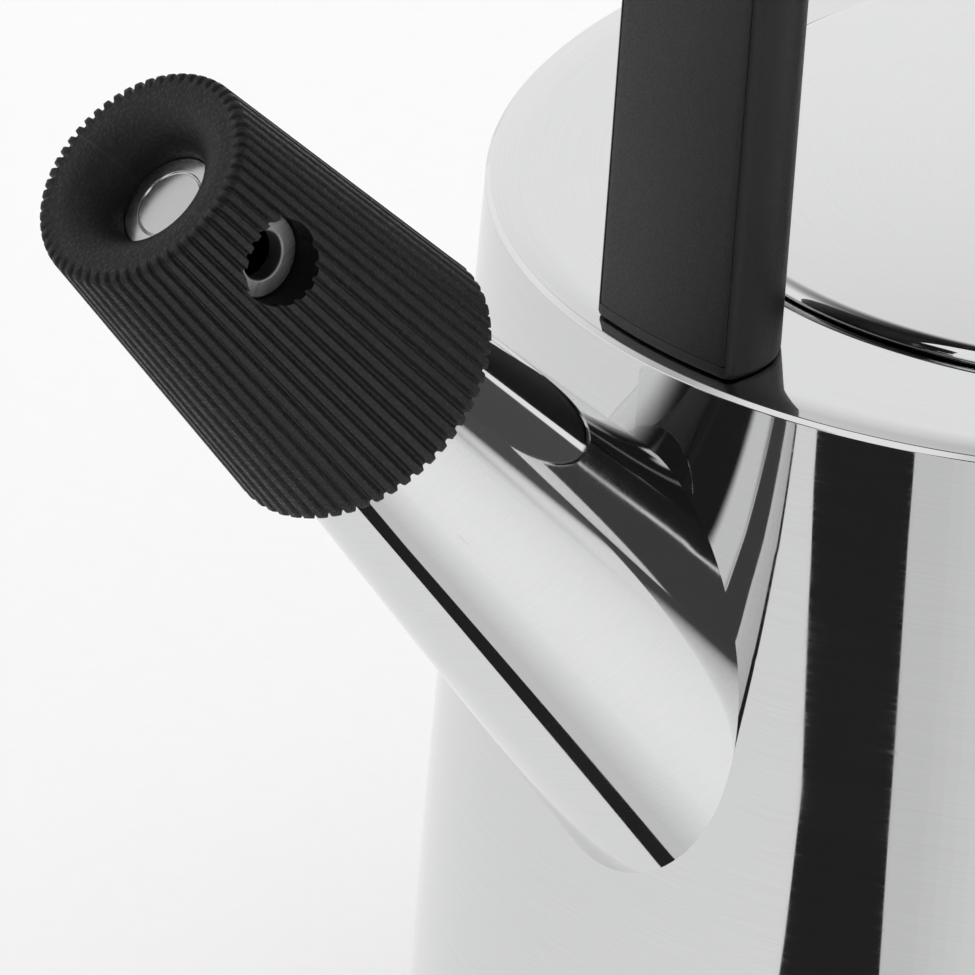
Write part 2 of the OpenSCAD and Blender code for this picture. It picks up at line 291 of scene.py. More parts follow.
def makeHandling():
    # soft smears, and small flecks sixty times finer, from hands and cloths
    tree, given, result = newGroup("handlingMarks", {"Smear size mm": 22.0}, ["Smears", "Flecks"])
    place = objectCoordinates(tree)
    scale = mathNode(tree, "DIVIDE", mmPerMetre, given.outputs["Smear size mm"])
    cloud = noiseNode(tree, place, scale, detail=4.0, roughness=0.6)
    tree.links.new(ramp(tree, cloud, low=0.42, high=0.72), result.inputs["Smears"])
    fine = noiseNode(tree, place, mathNode(tree, "MULTIPLY", scale, 60.0), detail=1.0, roughness=0.5)
    tree.links.new(ramp(tree, fine, low=0.66, high=0.8), result.inputs["Flecks"])
    return tree


def makeMouldGrain():
    # spark-eroded grain of a mould, and the small pits between its bumps
    tree, given, result = newGroup("mouldGrain", {"Grain mm": 0.3}, ["Grain", "Pits"])
    place = objectCoordinates(tree)
    scale = mathNode(tree, "DIVIDE", mmPerMetre, given.outputs["Grain mm"])
    tree.links.new(noiseNode(tree, place, scale, detail=3.0, roughness=0.6), result.inputs["Grain"])
    cells = tree.nodes.new("ShaderNodeTexVoronoi")
    tree.links.new(place, cells.inputs["Vector"])
    tree.links.new(mathNode(tree, "MULTIPLY", scale, 0.8), cells.inputs["Scale"])
    tree.links.new(ramp(tree, cells.outputs["Distance"], low=0.1, high=0.7), result.inputs["Pits"])
    return tree


def makeEdgeRub():
    # edges that hands and cloths rub brighter
    tree, given, result = newGroup("edgeRub", {"Reach": 0.06}, ["Rub"])
    shape = tree.nodes.new("ShaderNodeNewGeometry")
    over = mathNode(tree, "SUBTRACT", shape.outputs["Pointiness"], 0.5)
    share = mathNode(tree, "DIVIDE", over, given.outputs["Reach"])
    broken = noiseNode(tree, objectCoordinates(tree), 900.0, detail=3.0, roughness=0.6)
    worn = ramp(tree, share, low=0.1, high=1.0)
    tree.links.new(mathNode(tree, "MULTIPLY", worn, broken), result.inputs["Rub"])
    return tree


# effects that several finishes share, built once and placed with each finish's own values
effects = {
    "turnedLines": makeTurnedLines(),
    "handlingMarks": makeHandling(),
    "mouldGrain": makeMouldGrain(),
    "edgeRub": makeEdgeRub(),
}


def effect(tree, name, values):
    node = tree.nodes.new("ShaderNodeGroup")
    node.node_tree = effects[name]
    for label, value in values.items():
        node.inputs[label].default_value = value
    return node.outputs


def newFinish(name):
    material = bpy.data.materials.new(name)
    material.use_nodes = True
    return material, material.node_tree, material.node_tree.nodes["Principled BSDF"]


def tint(tree, shader, factor, first, second):
    blend = tree.nodes.new("ShaderNodeMix")
    blend.data_type = "RGBA"
    tree.links.new(factor, blend.inputs["Factor"])
    blend.inputs["A"].default_value = (*first, 1)
    blend.inputs["B"].default_value = (*second, 1)
    tree.links.new(blend.outputs["Result"], shader.inputs["Base Color"])


def bump(tree, shader, height, strength, depth):
    node = tree.nodes.new("ShaderNodeBump")
    node.inputs["Strength"].default_value = strength
    node.inputs["Distance"].default_value = depth
    tree.links.new(height, node.inputs["Height"])
    tree.links.new(node.outputs["Normal"], shader.inputs["Normal"])


def steelFinish(name, look, onSpout=False):
    # turned lines round the kettle's axis or the spout's, under smears and flecks
    material, tree, shader = newFinish(name)
    shader.inputs["Metallic"].default_value = 1.0
    axis = {"Lean": spoutLean, "Axis X": spoutStart.x, "Axis Z": spoutStart.z} if onSpout else {}
    lines = effect(tree, "turnedLines", {
        "Lines per mm": look["linesPerMm"], "Arc length": look["lineArc"], **axis})["Lines"]
    marks = effect(tree, "handlingMarks", {"Smear size mm": look["smearMm"]})
    tint(tree, shader, lines, look["dark"], look["light"])
    scratched = ramp(tree, lines, low=0.35, high=0.75)
    rough = mathNode(tree, "MULTIPLY_ADD", scratched, look["lineRough"], look["rough"])
    rough = mathNode(tree, "MULTIPLY_ADD", marks["Smears"], look["smearRough"], rough)
    rough = mathNode(tree, "MULTIPLY_ADD", marks["Flecks"], look["fleckRough"], rough)
    tree.links.new(rough, shader.inputs["Roughness"])
    bump(tree, shader, lines, look["lineBump"], look["lineDeep"])
    return material


mirrorLook = dict(
    dark=(0.645, 0.647, 0.652), light=(0.715, 0.717, 0.72), rough=0.015, lineRough=0.035,
    smearRough=0.03, fleckRough=0.03, linesPerMm=6.0, lineArc=5.0, smearMm=24.0,
    lineBump=0.05, lineDeep=0.000004)
satinLook = dict(
    dark=(0.42, 0.423, 0.43), light=(0.54, 0.543, 0.55), rough=0.24, lineRough=0.16,
    smearRough=0.06, fleckRough=0.03, linesPerMm=7.0, lineArc=3.0, smearMm=12.0,
    lineBump=0.35, lineDeep=0.00003)
polishedSteel = steelFinish("polishedSteel", mirrorLook)
spoutSteel = steelFinish("spoutSteel", mirrorLook, onSpout=True)
inlaySteel = steelFinish("inlaySteel", dict(mirrorLook, rough=0.14, lineRough=0.08), onSpout=True)
satinSteel = steelFinish("satinSteel", satinLook)
# painted shade: the whistle's steel is far darker than the other satin steel so the bore seen down the steam
# eyelet reads dark
whistleSteel = steelFinish("whistleSteel", dict(
    satinLook, dark=(0.10, 0.10, 0.102), light=(0.17, 0.168, 0.165), rough=0.34), onSpout=True)
eyeletSteel = steelFinish("eyeletSteel", dict(
    satinLook, dark=(0.24, 0.241, 0.243), light=(0.56, 0.56, 0.563), rough=0.38,
    linesPerMm=5.0, lineBump=0.8), onSpout=True)
turnedAluminium = steelFinish("turnedAluminium", dict(
    dark=(0.66, 0.66, 0.67), light=(0.74, 0.74, 0.745), rough=0.30, lineRough=0.12,
    smearRough=0.05, fleckRough=0.02, linesPerMm=3.0, lineArc=2.0, smearMm=18.0,
    lineBump=0.4, lineDeep=0.00004))
turnedBrass = steelFinish("turnedBrass", dict(
    dark=(0.60, 0.44, 0.16), light=(0.72, 0.55, 0.25), rough=0.20, lineRough=0.12,
    smearRough=0.08, fleckRough=0.03, linesPerMm=8.0, lineArc=2.0, smearMm=6.0,
    lineBump=0.4, lineDeep=0.00003))


def plasticFinish(name, look):
    material, tree, shader = newFinish(name)
    grain = effect(tree, "mouldGrain", {"Grain mm": look["grainMm"]})
    marks = effect(tree, "handlingMarks", {"Smear size mm": look["smearMm"]})
    rub = effect(tree, "edgeRub", {"Reach": look["rubReach"]})["Rub"]
    rubbed = mathNode(tree, "MULTIPLY", rub, look["rubTint"])
    paler = mathNode(tree, "MULTIPLY_ADD", grain["Grain"], look["grainTint"], rubbed)
    tint(tree, shader, paler, look["dark"], look["light"])
    rough = mathNode(tree, "MULTIPLY_ADD", grain["Pits"], look["grainRough"], look["rough"])
    rough = mathNode(tree, "MULTIPLY_ADD", marks["Smears"], -look["smearShine"], rough)
    tree.links.new(rough, shader.inputs["Roughness"])
    shader.inputs["IOR"].default_value = look["ior"]
    shader.inputs["Specular IOR Level"].default_value = look["specular"]
    height = mathNode(tree, "MULTIPLY_ADD", grain["Pits"], look["pitShare"], grain["Grain"])
    bump(tree, shader, height, look["grainBump"], look["grainDeep"])
    return material


softBlack = dict(
    dark=(0.004, 0.004, 0.0042), light=(0.013, 0.013, 0.0133), rough=0.40, grainRough=0.12,
    grainMm=0.2, grainTint=0.6, smearMm=30.0, smearShine=0.05, rubReach=0.08, rubTint=0.5,
    grainBump=0.4, grainDeep=0.00002, pitShare=0.6, ior=1.5, specular=0.38)
handlePlastic = plasticFinish("handlePlastic", softBlack)
coverPlastic = plasticFinish("coverPlastic", dict(softBlack, rough=0.44, smearMm=34.0))
capPlastic = plasticFinish("capPlastic", dict(
    softBlack, dark=(0.003, 0.003, 0.0031), light=(0.020, 0.020, 0.0205), rough=0.42, grainRough=0.2,
    grainMm=0.34, grainTint=0.7, smearMm=16.0, smearShine=0.03, grainBump=0.9, grainDeep=0.00006,
    specular=0.32))
# painted shade: the drilled bore's faces get a darker, duller black so the deep steam hole reads as in shade
boreShadePlastic = plasticFinish("boreShadePlastic", dict(
    softBlack, dark=(0.002, 0.002, 0.0021), light=(0.006, 0.006, 0.0062), specular=0.12))
silicone = plasticFinish("silicone", dict(
    softBlack, dark=(0.020, 0.020, 0.021), light=(0.045, 0.045, 0.047), rough=0.58,
    grainMm=0.25, grainTint=0.4, smearMm=9.0, grainBump=0.2, ior=1.42))
print("finishes made:", len(bpy.data.materials))


def makeShoulder():
    size = dict(sheet=0.8, lap=0.2, rise=0.75, rimFlat=0.46, rimDrop=0.42, rimUp=0.04, rimRound=0.2,
                marginIn=4.5658, marginR=28.0, marginStart=83.5, marginStep=0.5, recessR=55.6,
                recessDeep=2.2, recessRound=0.6, neckR=49.2, neckRound=0.7, neckEdge=0.2, pressRound=0.5,
                undersideRound=0.4)
    neckLow, top, edge = turnedReach("top_plate")
    sheet, margin, press = size["sheet"], size["marginR"], size["pressRound"]
    seat = top - size["recessDeep"]
    marginX = edge - size["marginIn"]
    rim = wallHigh + size["rise"]
    bend = math.radians(size["marginStart"])
    outline = rounded([
        (edge - sheet, wallHigh), (edge, wallHigh),
        (wallRadius(rim - size["rimDrop"]), rim - size["rimDrop"], size["rimRound"]),
        (wallRadius(rim) - size["rimFlat"], rim + size["rimUp"], size["rimRound"]),
        (marginX + margin * math.cos(bend), top - margin * (1 - math.sin(bend))),
    ], closed=False, hold=0.03)
    outline += arc(marginX, top - margin, margin, size["marginStart"] + 1, 90, 10)
    outline += rounded([
        (marginX - size["marginStep"], top), (size["recessR"], top, size["recessRound"]),
        (size["recessR"], seat + sheet, press), (size["neckR"], seat + sheet, size["neckRound"]),
        (size["neckR"], neckLow, size["neckEdge"]), (size["neckR"] + sheet, neckLow, size["neckEdge"]),
        (size["neckR"] + sheet, seat, press), (size["recessR"] + sheet, seat, press),
        (size["recessR"] + sheet, top - sheet, size["undersideRound"]), (marginX, top - sheet),
        (edge - sheet, wallHigh - size["lap"]),
    ], closed=False)
    piece("shoulder", lathe(outline, fineSteps), "kettle", polishedSteel, "top_plate")


def makeBottom():
    size = dict(sheet=0.8, panRound=5.0, panStart=-88, panSteps=20)
    low, high, _ = turnedReach("vessel_bottom")
    lean = math.degrees(wallLean)
    sheet, panRound, steps = size["sheet"], size["panRound"], size["panSteps"]
    middle = wallRadius(low + panRound) - panRound
    outline = [(0, low), (middle, low)]
    outline += arc(middle, low + panRound, panRound, size["panStart"], lean, steps)
    outline += [(wallRadius(high), high), (wallRadius(high) - sheet, high)]
    outline += arc(middle, low + panRound, panRound - sheet, lean, -90, steps)
    outline += [(0, low + sheet)]
    piece("bottomPan", lathe(outline, fineSteps), "kettle", polishedSteel, "vessel_bottom")


def makeBase():
    size = dict(sheet=0.8, flatShare=0.55, footRound=1.7, rimRound=0.15, innerRound=0.8)
    low, high, edge = turnedReach("base_cap")
    sheet = size["sheet"]
    outline = rounded([
        (0, low), (edge * size["flatShare"], low), (edge, low, size["footRound"]),
        (edge, high, size["rimRound"]), (edge - sheet, high, size["rimRound"]),
        (edge - sheet, low + sheet, size["innerRound"]), (0, low + sheet),
    ], steps=10)
    piece("baseCapsule", lathe(outline, fineSteps), "kettle", satinSteel, "base_cap")


def makeSpout():
    size = dict(rootR=17.5, taper=0.105, sheet=0.8, length=67.0, sink=0.12, bead=0.8, beadGap=0.5,
                beadTurn=(-62, 150), stepIn=0.08, stepOut=0.35, stepRound=0.35, stepUp=0.02,
                steps=288, rows=60, searchReach=40.0, searchSteps=40)
    turn = np.linspace(0, 2 * math.pi, size["steps"], endpoint=False)
    place = np.array(spoutPlace)

    def ring(radius, height):
        levels = np.broadcast_to(height, turn.shape)
        return np.stack([radius * np.cos(turn), radius * np.sin(turn), levels], 1)

    def rootHeight(inset):
        # where the tube's lines meet the tapered wall, found by halving
        low, high = np.full(turn.shape, -size["searchReach"]), np.full(turn.shape, size["searchReach"])
        for _ in range(size["searchSteps"]):
            mid = (low + high) / 2
            local = ring(size["rootR"] - inset - size["taper"] * mid, mid)
            world = local @ place[:3, :3].T + place[:3, 3] / mm
            inside = np.hypot(world[:, 0], world[:, 1]) < wallRadius(world[:, 2]) - size["sink"]
            low, high = np.where(inside, mid, low), np.where(inside, high, mid)
        return (low + high) / 2

    def wall(inset, top, share):
        height = rootHeight(inset) * (1 - share) + top * share
        return ring(size["rootR"] - inset - size["taper"] * height, height)

    mouthR = size["rootR"] - size["taper"] * size["length"]
    innerTop = size["length"] - size["bead"]
    step = innerTop - size["bead"]
    outerTop = step - size["beadGap"]
    rows = [wall(0, outerTop, s) for s in np.linspace(0, 1, size["rows"])]
    lip = rounded([
        (size["rootR"] - size["taper"] * outerTop, outerTop),
        (mouthR + size["stepIn"], step, size["stepRound"]),
        (mouthR + size["stepOut"], step + size["stepUp"]),
    ], closed=False, steps=5, hold=0.03)[1:-1]
    lip += arc(mouthR, innerTop, size["bead"], *size["beadTurn"], 16)
    rows += [ring(r, z) for r, z in lip]
    rows += [wall(size["sheet"], innerTop, s) for s in np.linspace(1, 0, size["rows"])]
    points = [tuple(p) for row in rows for p in row]
    faces = ringFaces(size["steps"], [(k, (k + 1) % len(rows)) for k in range(len(rows))])
    piece("spoutTube", (points, faces), "kettle", spoutSteel, "spout", place=spoutPlace)


makeShoulder()
makeBottom()
makeBase()
makeSpout()
print("body made")


handle = dict(bendX=35.9, bendR=32.0, halfWidth=11.05, deep=13.1, sideDeep=2.6, nose=1.2, noseStart=6,
              faceR=73.1, coverHalf=10.1, coverDeep=2.2, seam=0.04, channelStep=0.18, seamStep=0.02,
              seamRound=0.05, toe=1.3, toeStep=0.01, channelFrom=3.0, softEdge=0.14, softStart=84,
              bridge=0.99, bendSteps=40, acrossSteps=25, backSteps=61, crease=40,
              gripToe=((0, 0.4), (0.1, 0.12)), gripFoot=(0.4, 0.6),
              coverToe=((0, 0.25), (0.07, 0.08)), coverFoot=(0.25, 0.5), coverEdge=0.1)


def archStations(steps):
    # outer face line of the arch in the XZ plane, rear foot to front foot: (point, outward normal)
    top = turnedReach("handle_cover")[1]
    centre = np.array([handle["bendX"], 0, top - handle["bendR"]])
    half = []
    for a in np.linspace(math.pi / 2, wallLean, steps):
        normal = np.array([math.cos(a), 0, math.sin(a)])
        half.append((centre + normal * handle["bendR"], normal))
    flip = np.array([-1, 1, 1])
    return [(p * flip, n * flip) for p, n in half[::-1]], half


def sectionAt(point, normal, section):
    return [tuple(point - normal * depth + np.array([0, y, 0])) for depth, y in section]


def footRing(side, section, height):
    # the section carried down the leg to a level height
    point, normal = archStations(2)[1][1]
    down = np.array([math.sin(wallLean), 0, -math.cos(wallLean)])
    ring = []
    for depth, y in section:
        spot = point - normal * depth + np.array([0, y, 0])
        spot = spot + down * (spot[2] - height) / -down[2]
        ring.append((spot[0] * side, spot[1], spot[2]))
    return ring


def shrink(section, by):
    middle = np.mean(section, 0)
    out = np.array(section) - middle
    reach = np.abs(out).max()
    return [tuple(middle + p * (1 - by / reach)) for p in out]


def archRings(makeFoot, section):
    # the rear foot from the ground up, the whole arch, and the front foot down again
    rear, front = archStations(handle["bendSteps"])
    arch = [sectionAt(point, normal, section) for point, normal in rear + front]
    return makeFoot(-1) + arch + makeFoot(1)[::-1]


def crown(y):
    # how far the handle's slightly crowned face falls back beside its middle line
    return handle["faceR"] - math.sqrt(handle["faceR"] ** 2 - y * y)


def gripSection(channel):
    # (depth, width) points of the arch, with the cover's channel or with that side filled
    half, nose, step = handle["halfWidth"], handle["nose"], handle["seamStep"]
    seamHalf = handle["coverHalf"] + handle["seam"]
    floor = handle["coverDeep"] + handle["seam"]
    soft = handle["seamRound"]
    noseY = half - nose
    lipDepth = crown(noseY) + nose - math.sqrt(nose ** 2 - (seamHalf - noseY) ** 2)
    lipAngle = math.degrees(math.acos((seamHalf - noseY) / nose))
    side = [
        (crown(noseY) + nose - y, noseY + x)
        for x, y in arc(0, 0, nose, lipAngle - handle["noseStart"], 0, 8)
    ]
    back = [
        (handle["sideDeep"] + (handle["deep"] - handle["sideDeep"]) * math.sin(a), half * math.cos(a))
        for a in np.linspace(0, math.pi, handle["backSteps"])
    ]
    across = np.linspace(-seamHalf, seamHalf, handle["acrossSteps"])
    if channel:
        wall = lipDepth + handle["channelStep"]
        inner = [(wall, -seamHalf), (floor, -seamHalf)] + [(floor, y) for y in across[1:-1]]
        inner += [(floor, seamHalf), (wall, seamHalf)]
    else:
        inner = [(lipDepth + step, -seamHalf), (lipDepth, -seamHalf + soft)]
        inner += [(crown(y) if abs(y) < noseY else lipDepth, y * handle["bridge"]) for y in across[1:-1]]
        inner += [(lipDepth, seamHalf - soft), (lipDepth + step, seamHalf)]
    mirrored = [(d, -y) for d, y in side[::-1]]
    return side + back[1:-1] + mirrored + inner


def makeGrip():
    foot = turnedReach("handle_grip")[0]
    seamLevel = handle["toe"] - handle["seam"]
    channelled, filled = gripSection(True), gripSection(False)

    def makeFoot(side):
        # a filled toe, drawn in at its end, under the level where the channel begins
        rings = [footRing(side, shrink(filled, by), foot + lift) for lift, by in handle["gripToe"]]
        rings += [footRing(side, filled, foot + lift) for lift in (*handle["gripFoot"], seamLevel)]
        lifts = (seamLevel + handle["toeStep"], handle["channelFrom"])
        return rings + [footRing(side, channelled, foot + lift) for lift in lifts]

    piece("gripArch", loft(archRings(makeFoot, channelled)), "kettle", handlePlastic, "handle_grip",
          crease=handle["crease"])


def makeCover():
    half, deep, soft = handle["coverHalf"], handle["coverDeep"], handle["softEdge"]
    foot = turnedReach("handle_cover")[0]
    flat = half - soft - handle["coverEdge"]
    face = [(crown(y), y) for y in np.linspace(-flat, flat, handle["acrossSteps"])]
    right = [
        (crown(half) + soft - y, half - soft + x)
        for x, y in arc(0, 0, soft, handle["softStart"], 0, 6)
    ]
    left = [(d, -y) for d, y in right[::-1]]
    section = face + right + [(deep, half), (deep, -half)] + left

    def makeFoot(side):
        rings = [footRing(side, shrink(section, by), foot + lift) for lift, by in handle["coverToe"]]
        return rings + [footRing(side, section, foot + lift) for lift in handle["coverFoot"]]

    piece("coverStrip", loft(archRings(makeFoot, section)), "kettle", coverPlastic, "handle_cover",
          crease=handle["crease"])


makeGrip()
makeCover()
print("handle made")


def makeLid():
    size = dict(sheet=0.8, crown=1.3, hole=2.2, edgeRound=1.4, edgeShare=1.6, lowRound=0.15, footRound=0.3,
                join=0.2, domeSteps=40)
    low, hub, edge = turnedReach("lid_plate")
    sheet = size["sheet"]
    crownR = (edge ** 2 + size["crown"] ** 2) / (2 * size["crown"])

    def domeZ(r):
        return hub - crownR + math.sqrt(crownR ** 2 - r * r)

    inner = edge - size["edgeRound"] * size["edgeShare"]
    start = inner + size["join"]
    outline = rounded([
        (edge - sheet, low, size["lowRound"]), (edge, low, size["footRound"]),
        (edge, domeZ(edge), size["edgeRound"]), (start, domeZ(start)),
    ], closed=False, steps=12, hold=0.05)
    outline += [(r, domeZ(r)) for r in np.linspace(inner, size["hole"], size["domeSteps"])]
    outline += [(r, domeZ(r) - sheet) for r in np.linspace(size["hole"], edge - sheet, size["domeSteps"])]
    piece("lidDome", lathe(outline, fineSteps), "lid", polishedSteel, "lid_plate")


def ribWave(share, ridge=0.44, slope=0.19):
    # height of a rounded rib across one pitch
    off = np.abs(share - 0.5)
    return smooth(np.clip((ridge / 2 + slope - off) / slope, 0, 1))


def withShares(points, shares):
    # how much of the ribs' height each point of an outline carries
    return [(r, z, share) for (r, z), share in zip(points, shares)]


def makeKnobGrip():
    size = dict(ribs=48, perRib=14, ribH=0.6, ribGap=0.05, flare=2.0, chamfer=0.3, chamferH=0.4,
                flankStart=0.06, flankSteps=16, footPoints=((0, 0.02, 0), (0.25, 0.3, 0), (0.3, 0.8, 0.7)),
                topRound=1.5, roundShare=1.3, topShares=(1, 0.95, 0.85, 0.7, 0.5, 0.32, 0.17, 0.06, 0),
                rimSteps=(0.8, 1.2), dishR=6.0, dish=1.6, dishGap=0.02, boreR=4.0, boreH=12.1, footIn=0.4)
    low, top, wide = turnedReach("knob")
    footR = wide - size["flare"] - size["ribH"] - size["ribGap"]
    topR = wide - size["ribH"] - size["ribGap"]
    topRound, dish, chamfer, chamferH = size["topRound"], size["dish"], size["chamfer"], size["chamferH"]
    outline = [(footR + out, low + up, share) for out, up, share in size["footPoints"]]
    for t in np.linspace(size["flankStart"], 1, size["flankSteps"]):
        r = footR + chamfer + (topR - footR - chamfer) * t
        z = low + chamferH + (top - low - chamferH - topRound * size["roundShare"]) * t
        outline.append((r, z, 1))
    outline += withShares(arc(topR - topRound, top - topRound, topRound, 0, 90, 8), size["topShares"])
    rimIn, rimOut = size["rimSteps"]
    outline += [(topR - topRound - rimIn, top), (size["dishR"] + dish + rimOut, top)]
    outline += arc(size["dishR"] + dish, top - dish, dish, 90, 180, 10)
    seat = top - dish - size["dishGap"]
    outline += [(size["dishR"], seat), (0, seat)]
    outline += [(0, low + size["boreH"]), (size["boreR"], low + size["boreH"]), (size["boreR"], low)]
    outline += [(footR - size["footIn"], low)]
    ribs = dict(ribs=size["ribs"], ribShape=lambda share: ribWave(share) * size["ribH"])
    piece("knobGrip", lathe(outline, size["ribs"] * size["perRib"], **ribs), "lid", capPlastic,
          "knob")


def inlayOutline(low, high, edge, ringR, groove=0.15):
    # a thin disc with one turned ring in its face
    return rounded([
        (0, low), (edge, low, 0.1), (edge, high, 0.12), (ringR + groove, high, 0.04),
        (ringR, high - groove * 1.3, 0.03), (ringR - groove, high, 0.04), (0, high),
    ], steps=4, hold=0.03)


def makeKnobMetal():
    size = dict(ringR=3.8, inlaySteps=160, collarBore=2.2, collarFoot=0.2, collarTop=0.4, collarSteps=200)
    outline = inlayOutline(*turnedReach("knob_disc"), size["ringR"])
    piece("knobInlay", lathe(outline, size["inlaySteps"]), "lid", polishedSteel, "knob_disc")
    low, high, edge = turnedReach("knob_ferrule")
    bore = size["collarBore"]
    outline = rounded([
        (bore, low), (edge, low, size["collarFoot"]), (edge, high, size["collarTop"]), (bore, high)])
    piece("knobCollar", lathe(outline, size["collarSteps"]), "lid", polishedSteel, "knob_ferrule")


makeLid()
makeKnobGrip()
makeKnobMetal()
print("lid made")


def makeCap():
    size = dict(ribs=58, perRib=14, ribH=0.55, ribGap=0.03, endR=12.2, flankStart=0.02, flankSteps=10,
                flankLow=0.3, mouthPoints=((-0.25, 0, 0), (-0.06, 0.02, 0.85), (0, 0.2, 1)), endRound=0.95,
                endShares=(1, 1, 1, 0.96, 0.88, 0.75, 0.58, 0.4, 0.22, 0.1, 0.02), lipSteps=(0.5, 0.1),
                dishR=5.4, dishWide=4.3, dishDeep=4.9, dishSteps=28, seatDeep=6.2, tubeR=9.2, tubeHigh=87.5,
                tubeStep=1.8, sealR=12.8, sealLow=57.8, sealHigh=67.6, boreR=13.1, flare=0.2, crease=50)
    start, end, mouthR = turnedReach("cap_shell", spoutPlace)
    mouth = mouthR - size["ribH"] - size["ribGap"]
    tip = size["endR"] - size["ribH"]
    endRound, flankLow, flare = size["endRound"], size["flankLow"], size["flare"]
    outline = [(mouth + out, start + up, share) for out, up, share in size["mouthPoints"]]
    for t in np.linspace(size["flankStart"], 1, size["flankSteps"]):
        z = start + flankLow + (end - endRound - start - flankLow) * t
        outline.append((mouth + (tip - mouth) * (z - start) / (end - start), z, 1))
    edgeR = outline[-1][0]
    outline += withShares(arc(edgeR - endRound, end - endRound, endRound, 6, 90, 10), size["endShares"])
    lipR = size["dishR"] + size["dishWide"]
    outline += [(lipR + step, end) for step in size["lipSteps"]]
    outline += [
        (lipR - size["dishWide"] * math.sin(a), end - size["dishDeep"] * (1 - math.cos(a)))
        for a in np.linspace(0, math.pi / 2, size["dishSteps"])
    ]
    outline += [(size["dishR"], end - size["seatDeep"]), (0, end - size["seatDeep"])]
    outline += rounded([
        (0, size["tubeHigh"]), (size["tubeR"], size["tubeHigh"]),
        (size["tubeR"], size["sealHigh"] + size["tubeStep"]), (size["sealR"], size["sealHigh"]),
        (size["sealR"], size["sealLow"]), (size["boreR"], start + flare, flare),
        (size["boreR"] + flare, start),
    ], closed=False, steps=3, hold=0.02)
    ribs = dict(ribs=size["ribs"], ribShape=lambda share: ribWave(share) * size["ribH"])
    return piece("capBody", lathe(outline, size["ribs"] * size["perRib"], **ribs), "cap", capPlastic,
                 "cap_shell", place=spoutPlace, crease=size["crease"])


def makeSteamHole(cap):
    # drilled through the cap's side; returns the hole's own place for the eyelet
    size = dict(radius=4.45, fromEnd=10.6, turn=95.3, reach=(4, 24), steps=96, crease=50)
    end = turnedReach("cap_shell", spoutPlace)[1]
    hole = spoutPlace @ Matrix.Translation((0, 0, (end - size["fromEnd"]) * mm))
    hole = hole @ Matrix.Rotation(math.radians(size["turn"]), 4, "Z") @ Matrix.Rotation(math.pi / 2, 4, "Y")
    inner, outer = size["reach"]
    bore = [(0, inner), (size["radius"], inner), (size["radius"], outer), (0, outer)]
    cutter = bpy.data.objects.new("cutter", meshOf("cutter", lathe(bore, size["steps"])))
    bpy.context.scene.collection.objects.link(cutter)
    cutter.matrix_world = hole
    # the drilled faces take the bore's painted-shade finish
    cutter.data.materials.append(boreShadePlastic)
    bpy.context.view_layer.update()
    drill(cap, cutter, size["crease"])
    return hole


def makeEyelet(hole):
    size = dict(flangeR=4.4, tubeR=2.85, boreR=2.5, flange=0.6, footRound=0.05, neckRound=0.1,
                underRound=0.15, rimRound=0.22, boreRound=0.25, steps=128)
    low, high, _ = turnedReach("whistle_eyelet", hole)
    under = high - size["flange"]
    outline = rounded([
        (size["boreR"], low, size["footRound"]), (size["tubeR"], low, size["footRound"]),
        (size["tubeR"], under, size["neckRound"]), (size["flangeR"], under, size["underRound"]),
        (size["flangeR"], high, size["rimRound"]), (size["boreR"], high, size["boreRound"]),
    ], steps=6, hold=0.02)
    piece("steamEyelet", lathe(outline, size["steps"]), "cap", eyeletSteel, "whistle_eyelet",
          place=hole)


def makeCapInlay():
    size = dict(sink=0.85, ringR=3.65, steps=160)
    low, high, edge = turnedReach("cap_disc", spoutPlace)
    outline = inlayOutline(low - size["sink"], high - size["sink"], edge, size["ringR"])
    piece("capInlay", lathe(outline, size["steps"]), "cap", inlaySteel, "cap_disc",
          place=spoutPlace)


def makeCapSeal():
    size = dict(bore=11.75, lips=3, lipDeep=0.35, lipRoot=0.8, lipTip=0.25, groove=0.4, edge=0.15, steps=192)
    low, high, edge = turnedReach("cap_seal", spoutPlace)
    bore, soft = size["bore"], size["edge"]
    outline = [(edge, low + soft), (edge, high - soft), (edge - soft, high), (bore + size["groove"], high)]
    for k in range(size["lips"]):
        z = high - (k + 0.5) * (high - low) / size["lips"]
        outline += [(bore + size["lipDeep"], z + size["lipRoot"]), (bore, z + size["lipTip"])]
        outline += [(bore, z - size["lipTip"]), (bore + size["lipDeep"], z - size["lipRoot"])]
    outline += [(bore + size["groove"], low), (edge - soft, low)]
    piece("capSealRing", lathe(outline, size["steps"]), "cap_ring", silicone, "cap_seal",
          place=spoutPlace)


steamHole = makeSteamHole(makeCap())
makeEyelet(steamHole)
makeCapInlay()
makeCapSeal()
print("cap made")


# parts shown as the frame has them, with a finish of their own
keptParts = {
    "body_shell": polishedSteel, "base_core": turnedAluminium, "front_bracket": satinSteel,
    "rear_bracket": satinSteel, "handle_core": satinSteel, "handle_screws": satinSteel,
    "lid_skirt": polishedSteel, "lid_seal": silicone, "knob_insert": turnedBrass,
    # the whistle parts take the darkened steel that paints the shade down the eyelet's bore
    "knob_screw": satinSteel, "knob_washer": satinSteel, "whistle_body": whistleSteel,
    "whistle_plate_inner": whistleSteel, "whistle_plate_outer": whistleSteel,
}
for node, finish in keptParts.items():
    frame["nodes"][node].data.materials.clear()
    frame["nodes"][node].data.materials.append(finish)
print("frame parts finished:", len(keptParts))


studio = dict(floorHalf=40.0, floorTone=0.93, floorGrain=0.012, grainScale=260.0, floorRough=0.7,
              floorGloss=0.2, tentBright=1.06, flagDistance=3.0)
